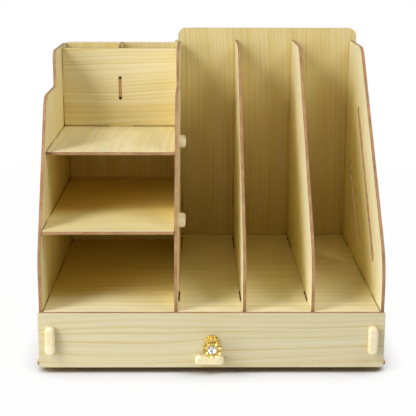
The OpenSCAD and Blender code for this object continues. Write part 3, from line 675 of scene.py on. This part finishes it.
def metal_material(name, bright, deep, hollow, reach, polish, relief):
    """Plated metal: clouded tone, darker hollows, uneven polish and fine casting relief.

    reach is how far the hollows are looked for, and polish the least and most roughness.
    """
    material, tree, shader = new_material(name)
    put = tree.links.new
    shader.inputs["Metallic"].default_value = 1.0
    place = add(tree, "TexCoord")
    clouds = add(tree, "TexNoise", "clouds", {"Scale": 420.0, "Detail": 3.0})
    put(place.outputs["Object"], clouds.inputs["Vector"])
    tone = ramp(tree, [(0.35, deep), (0.62, bright)], "plating")
    put(clouds.outputs["Fac"], tone.inputs["Fac"])
    hollows = add(tree, "AmbientOcclusion", "hollows", {"Distance": reach},
                  only_local=True, samples=8)
    openness = add(tree, "MapRange", "open surface", {"From Min": 0.4, "From Max": 0.95})
    put(hollows.outputs["AO"], openness.inputs["Value"])
    aged = add(tree, "Mix", "lacquer in the hollows", data_type="RGBA")
    aged.inputs["A"].default_value = hollow
    put(openness.outputs["Result"], aged.inputs["Factor"])
    put(tone.outputs["Color"], aged.inputs["B"])
    put(aged.outputs["Result"], shader.inputs["Base Color"])
    rough = add(tree, "MapRange", "polish", {"To Min": polish[0], "To Max": polish[1]})
    put(clouds.outputs["Fac"], rough.inputs["Value"])
    put(rough.outputs["Result"], shader.inputs["Roughness"])
    bump = add(tree, "Bump", "casting relief", {"Strength": relief, "Distance": 0.0001})
    put(clouds.outputs["Fac"], bump.inputs["Height"])
    put(bump.outputs["Normal"], shader.inputs["Normal"])
    return material


gold = metal_material("gold_plating", GOLD_BRIGHT, GOLD_DEEP, GOLD_HOLLOW,
                      reach=0.002, polish=(0.14, 0.3), relief=0.15)
steel = metal_material("screw_steel", shown(205, 205, 208), shown(178, 178, 184),
                       shown(70, 66, 62), reach=0.0012, polish=(0.25, 0.45), relief=0.25)
foil = metal_material("silver_foil", shown(238, 236, 232), shown(208, 206, 202),
                      shown(120, 116, 110), reach=0.001, polish=(0.06, 0.16), relief=0.6)
for name, material in (("knob_stem", gold), ("knob_screw", steel)):
    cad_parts[name].data.materials.clear()
    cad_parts[name].data.materials.append(material)
    roll_rims(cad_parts[name], RIM / 2)
print("metals:", gold.name, steel.name, foil.name)

# %% [markdown]
# ## Two gold flowers
# Both flowers of the knob, the small one against the board and the large one in front,
# are rings of eight cupped petals, with a gap between two of them straight above the
# middle. A petal is a shallow bowl, so half of its outline is drawn once as a chain of
# points and spun round its own axis. Copies are then turned into the ring.

# %% Petals
PETALS = 8
PETAL_STEP = 2 * math.pi / PETALS
PETAL_OVERLAP = 1.18
petal_reach = PETAL_OVERLAP * math.sin(math.pi / PETALS)
PETAL_SHARE = petal_reach / (1 + petal_reach)


def spin_profile(bm, profile, steps):
    """Turns a chain of (radius, height) points round the Z axis into a closed shape."""
    before = set(bm.verts)
    chain = [bm.verts.new((radius, 0, height)) for radius, height in profile]
    edges = [bm.edges.new(pair) for pair in zip(chain, chain[1:])]
    bmesh.ops.spin(bm, geom=chain + edges, cent=(0, 0, 0), axis=(0, 0, 1), angle=2 * math.pi,
                   steps=steps, use_merge=True, use_duplicate=False)
    made = [v for v in bm.verts if v not in before]
    bmesh.ops.remove_doubles(bm, verts=made, dist=SAME_POINT)
    return [v for v in bm.verts if v not in before]


def add_petals(bm, radius, thickness):
    """A ring of cupped petals that touches a circle of this radius."""
    petal = radius * PETAL_SHARE
    shares = [(0, 0.1), (0.6, 0), (0.9, 0.28), (1, 0.6), (0.95, 0.88), (0.84, 1), (0.7, 0.93),
              (0.4, 0.68), (0, 0.58)]
    profile = [(petal * across, thickness * up) for across, up in shares]
    for number in range(PETALS):
        made = spin_profile(bm, profile, steps=20)
        bmesh.ops.translate(bm, vec=(radius - petal, 0, 0), verts=made)
        turn = Matrix.Rotation(math.pi / 2 + (number + 0.5) * PETAL_STEP, 3, "Z")
        bmesh.ops.rotate(bm, cent=(0, 0, 0), matrix=turn, verts=made)


def flower_radius(node):
    """A flower's radius, from the width that its petals take up beside the top gap."""
    low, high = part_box(node)
    return (high.x - low.x) / 2 / (PETAL_SHARE + (1 - PETAL_SHARE) * math.cos(math.pi / PETALS))


def stand_on_drawer(bm, node):
    """Turns what was built along +Z to the front and sets its base where the node begins."""
    low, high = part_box(node)
    upright = Matrix.Rotation(math.pi / 2, 3, "X")
    bmesh.ops.rotate(bm, cent=(0, 0, 0), matrix=upright, verts=bm.verts)
    foot = ((low.x + high.x) / 2, high.y, (low.z + high.z) / 2)
    bmesh.ops.translate(bm, vec=foot, verts=bm.verts)


print("flower radii", [round(flower_radius(n) * 1000, 2) for n in ("knob_rose", "knob_flower")])

# %% The small flower against the board
low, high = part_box("knob_rose")
rose_radius, rose_thickness = flower_radius("knob_rose"), high.y - low.y
bm = bmesh.new()
add_petals(bm, rose_radius, rose_thickness)
disc_shares = [(0, 0), (0.62, 0), (0.62, 0.5), (0.5, 0.9), (0.3, 1), (0, 1)]
disc = [(rose_radius * across, rose_thickness * up) for across, up in disc_shares]
spin_profile(bm, disc, steps=32)
stand_on_drawer(bm, "knob_rose")
make_piece("rose", bm, gold, "drawer", "knob_rose")

# %% [markdown]
# The large flower carries the stone in a raised collar. Eight small beads over the gaps
# between petals are pressed over the collar's edge, as a jeweller's claws are, and a cup
# behind closes the flower towards its neck.

# %% The large flower with its collar and beads
stone_low, stone_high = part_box("knob_crystal")
stone_radius = (stone_high.x - stone_low.x) / 2
low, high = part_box("knob_flower")
bloom_radius, bloom_thickness = flower_radius("knob_flower"), high.y - low.y
seat = high.y - stone_high.y

bm = bmesh.new()
add_petals(bm, bloom_radius, bloom_thickness)
cup = [(0, 0), (stone_radius, 0), (bloom_radius * 0.62, bloom_thickness * 0.3),
       (bloom_radius * 0.6, bloom_thickness * 0.75)]
collar_shares = [(1.16, 0.86), (1.13, 1.12), (1.04, 1.16), (1.01, 1.1)]
collar = [(stone_radius * across, bloom_thickness * up) for across, up in collar_shares]
floor_under_stone = [(stone_radius * 1.01, seat * 0.98), (0, seat * 0.98)]
spin_profile(bm, cup + collar + floor_under_stone, steps=48)
for number in range(PETALS):
    bead = bmesh.ops.create_icosphere(bm, subdivisions=2, radius=stone_radius * 0.14)["verts"]
    bmesh.ops.scale(bm, vec=(1.3, 0.8, 1.0), verts=bead)
    bmesh.ops.translate(bm, vec=(stone_radius * 1.06, 0, bloom_thickness * 1.12), verts=bead)
    turn = Matrix.Rotation(math.pi / 2 + number * PETAL_STEP, 3, "Z")
    bmesh.ops.rotate(bm, cent=(0, 0, 0), matrix=turn, verts=bead)
stand_on_drawer(bm, "knob_flower")
make_piece("flower", bm, gold, "drawer", "knob_flower")

# %% [markdown]
# ## The stone
# The stone is cut glass: a flat table on top, a ring of sloping facets, a narrow girdle at
# its widest, and a cone below that a silver foil backs, so that light comes back out. Rings
# of points with different counts are bridged into the facets. Facets must stay flat, so
# every edge counts as a crease.

# %% Glass
GLASS_IOR, GLASS_ROUGHNESS = 1.6, 0.02

stone_material, tree, shader = new_material("cut_glass")
place = add(tree, "TexCoord")
haze = add(tree, "TexNoise", "faint haze", {"Scale": 500.0, "Detail": 2.0})
tree.links.new(place.outputs["Object"], haze.inputs["Vector"])
tint = ramp(tree, [(0.4, shown(240, 240, 238)), (0.6, shown(255, 255, 252))], "clear glass")
tree.links.new(haze.outputs["Fac"], tint.inputs["Fac"])
tree.links.new(tint.outputs["Color"], shader.inputs["Base Color"])
shader.inputs["Roughness"].default_value = GLASS_ROUGHNESS
shader.inputs["IOR"].default_value = GLASS_IOR
shader.inputs["Transmission Weight"].default_value = 1.0
print("glass IOR", GLASS_IOR)


# %% Stone and foil
def add_ring(bm, radius, height, points, turned=0.0):
    """Adds a level ring of points, and gives its points and its edges."""
    made = bmesh.ops.create_circle(bm, cap_ends=False, radius=radius, segments=points)["verts"]
    bmesh.ops.rotate(bm, cent=(0, 0, 0), matrix=Matrix.Rotation(turned, 3, "Z"), verts=made)
    bmesh.ops.translate(bm, vec=(0, 0, height), verts=made)
    return made, list({edge for vert in made for edge in vert.link_edges})


def facet_shape(rings):
    """Bridges rings of points, given as radius, height, count and turn, and closes both ends."""
    bm = bmesh.new()
    loops = [add_ring(bm, *ring) for ring in rings]
    for (_, lower), (_, upper) in zip(loops, loops[1:]):
        bmesh.ops.bridge_loops(bm, edges=lower + upper)
    for verts, _ in (loops[0], loops[-1]):
        bmesh.ops.contextual_create(bm, geom=verts)
    bmesh.ops.triangulate(bm, faces=[face for face in bm.faces if len(face.verts) == 4])
    return bm


stone_height = stone_high.y - stone_low.y
half_facet = math.pi / 8
bm = facet_shape([
    (stone_radius * 0.25, stone_height * 0.04, 8),
    (stone_radius * 0.98, stone_height * 0.42, 16),
    (stone_radius * 0.98, stone_height * 0.5, 16),
    (stone_radius * 0.76, stone_height * 0.8, 8, half_facet),
    (stone_radius * 0.46, stone_height, 8),
])
stand_on_drawer(bm, "knob_crystal")
make_piece("stone", bm, stone_material, "drawer", "knob_crystal", CUT_CREASE)

bm = bmesh.new()
foil_radius, foil_low, foil_high = stone_radius * 0.99, stone_height * 0.36, stone_height * 0.4
outer_foil = [(0, 0.00002), (foil_radius * 0.3, 0.00003), (foil_radius, foil_low)]
inner_foil = [(foil_radius * 0.97, foil_high), (foil_radius * 0.26, 0.00012), (0, 0.0001)]
spin_profile(bm, outer_foil + [(foil_radius, foil_high)] + inner_foil, steps=16)
stand_on_drawer(bm, "knob_crystal")
make_piece("foil", bm, foil, "drawer", None, CUT_CREASE)

# %% [markdown]
# ## Light and floor
# A pale studio: white all round, and four soft lamps. A broad key hangs high on the left and
# a broader lamp stands low on the same side. On the right, a second high lamp fills the
# shadows, and a weak low one reaches the right side. The white that the camera sees is not
# what lights the object: the world's own light is low, so that the compartments fall off in
# tone.

# %% World and lamps
WHITE = (1, 1, 1, 1)
WORLD_STRENGTH = 0.02


def seen_directly(tree):
    """A mask that is 1 for what the camera sees, straight on, mirrored or through glass."""
    rays = add(tree, "LightPath")
    first = add(tree, "Math", "seen or mirrored", operation="MAXIMUM")
    tree.links.new(rays.outputs["Is Camera Ray"], first.inputs[0])
    tree.links.new(rays.outputs["Is Glossy Ray"], first.inputs[1])
    second = add(tree, "Math", "or through glass", operation="MAXIMUM")
    tree.links.new(first.outputs[0], second.inputs[0])
    tree.links.new(rays.outputs["Is Transmission Ray"], second.inputs[1])
    return second.outputs[0]


world = bpy.data.worlds.new("studio")
bpy.context.scene.world = world
world.use_nodes = True
tree = world.node_tree
tree.nodes.clear()
lit = add(tree, "Background", "light on the object",
          {"Color": WHITE, "Strength": WORLD_STRENGTH})
white = add(tree, "Background", "white backdrop", {"Color": WHITE, "Strength": 1.0})
choose = add(tree, "MixShader")
tree.links.new(seen_directly(tree), choose.inputs["Fac"])
tree.links.new(lit.outputs["Background"], choose.inputs[1])
tree.links.new(white.outputs["Background"], choose.inputs[2])
tree.links.new(choose.outputs["Shader"], add(tree, "OutputWorld").inputs["Surface"])


def lamp(name, place, aim, size, watts):
    """A round area lamp, as wide as its size in metres, that shines at its aim."""
    data = bpy.data.lights.new(name, "AREA")
    data.shape = "DISK"
    data.size = size
    data.energy = watts
    lamp_object = bpy.data.objects.new(name, data)
    lamp_object.location = place
    towards = Vector(aim) - Vector(place)
    lamp_object.rotation_euler = towards.to_track_quat("-Z", "Y").to_euler()
    bpy.context.collection.objects.link(lamp_object)


LAMP_AIM = (0, 0, 0.1)
lamp("key", (-1.35, -0.9, 1.5), LAMP_AIM, 0.8, 24.5)
lamp("low", (-1.6, -1.2, 0.4), LAMP_AIM, 1.6, 25.0)
lamp("fill", (1.0, -0.6, 1.6), LAMP_AIM, 0.9, 13.6)
lamp("right", (1.8, -0.5, 0.5), LAMP_AIM, 1.0, 2.5)
bpy.context.scene.view_settings.view_transform = "Standard"
print("world", WORLD_STRENGTH, "lamps", len(bpy.data.lights))

# %% [markdown]
# The floor is a matt white sheet. What the camera sees of it is lifted to paper white, as
# a cut-out catalogue picture is, fully in the distance and only in part near the object,
# so that its shadow stays. Right at the object, where a short-range Ambient Occlusion node
# finds the floor covered, nothing is lifted, and the colour that the camera sees there is
# darkened: painted shade under the boards. For all other light it stays paler than it is
# seen, so that it still throws light up at the object.

# %% Floor
FLOOR_LIFT = 0.98
FLOOR_SEEN, FLOOR_LIGHTING = (0.72, 0.72, 0.72, 1), (0.92, 0.92, 0.92, 1)
# Painted shade: the floor's colour right under the boards.
FLOOR_PAINTED_SHADE = (0.26, 0.23, 0.2, 1)
LIFT_NEAR, LIFT_FAR = 0.35, 0.9
FLOOR_HALF, FLOOR_REACH = 4.0, 0.06
CONTACT_COVERED, CONTACT_FREE = 0.05, 0.5
LIFT_COVERED, LIFT_FREE = 0.38, 0.75

mesh = bpy.data.meshes.new("floor")
bm = bmesh.new()
bmesh.ops.create_grid(bm, x_segments=1, y_segments=1, size=FLOOR_HALF)
bm.to_mesh(mesh)
bm.free()
floor = bpy.data.objects.new("floor", mesh)
bpy.context.collection.objects.link(floor)

floor_material, tree, shader = new_material("floor")
put = tree.links.new
seen = seen_directly(tree)
cover = add(tree, "AmbientOcclusion", "covered floor", {"Distance": FLOOR_REACH}, samples=12)
# Painted shade: where the floor is covered, the colour that the camera sees turns dark.
contact = add(tree, "MapRange", "not in contact",
              {"From Min": CONTACT_COVERED, "From Max": CONTACT_FREE})
put(cover.outputs["AO"], contact.inputs["Value"])
seen_tone_with_shade = add(tree, "Mix", "dark contact", {"A": FLOOR_PAINTED_SHADE, "B": FLOOR_SEEN},
                data_type="RGBA")
put(contact.outputs["Result"], seen_tone_with_shade.inputs["Factor"])
floor_tone = add(tree, "Mix", "paper", {"A": FLOOR_LIGHTING}, data_type="RGBA")
put(seen, floor_tone.inputs["Factor"])
put(seen_tone_with_shade.outputs["Result"], floor_tone.inputs["B"])
put(floor_tone.outputs["Result"], shader.inputs["Base Color"])
shader.inputs["Roughness"].default_value = 0.9
shader.inputs["Specular IOR Level"].default_value = 0.0
open_floor = add(tree, "MapRange", "open floor",
                 {"From Min": LIFT_COVERED, "From Max": LIFT_FREE, "To Max": FLOOR_LIFT})
put(cover.outputs["AO"], open_floor.inputs["Value"])
place = add(tree, "TexCoord")
distance = add(tree, "VectorMath", "from the object", operation="LENGTH")
put(place.outputs["Object"], distance.inputs[0])
far = add(tree, "MapRange", "far floor", {"From Min": LIFT_NEAR, "From Max": LIFT_FAR})
put(distance.outputs["Value"], far.inputs["Value"])
lift = add(tree, "Math", "lift", operation="MAXIMUM")
put(open_floor.outputs["Result"], lift.inputs[0])
put(far.outputs["Result"], lift.inputs[1])
seen_lift = add(tree, "Math", "only as seen", operation="MULTIPLY")
put(lift.outputs[0], seen_lift.inputs[0])
put(seen, seen_lift.inputs[1])
paper = add(tree, "Emission", "paper white", {"Color": WHITE, "Strength": 1.0})
surface = add(tree, "MixShader")
put(seen_lift.outputs[0], surface.inputs["Fac"])
put(shader.outputs["BSDF"], surface.inputs[1])
put(paper.outputs["Emission"], surface.inputs[2])
material_output = next(n for n in tree.nodes if n.type == "OUTPUT_MATERIAL")
put(surface.outputs["Shader"], material_output.inputs["Surface"])
floor.data.materials.append(floor_material)
print("floor", 2 * FLOOR_HALF, "m wide, lift", FLOOR_LIFT)
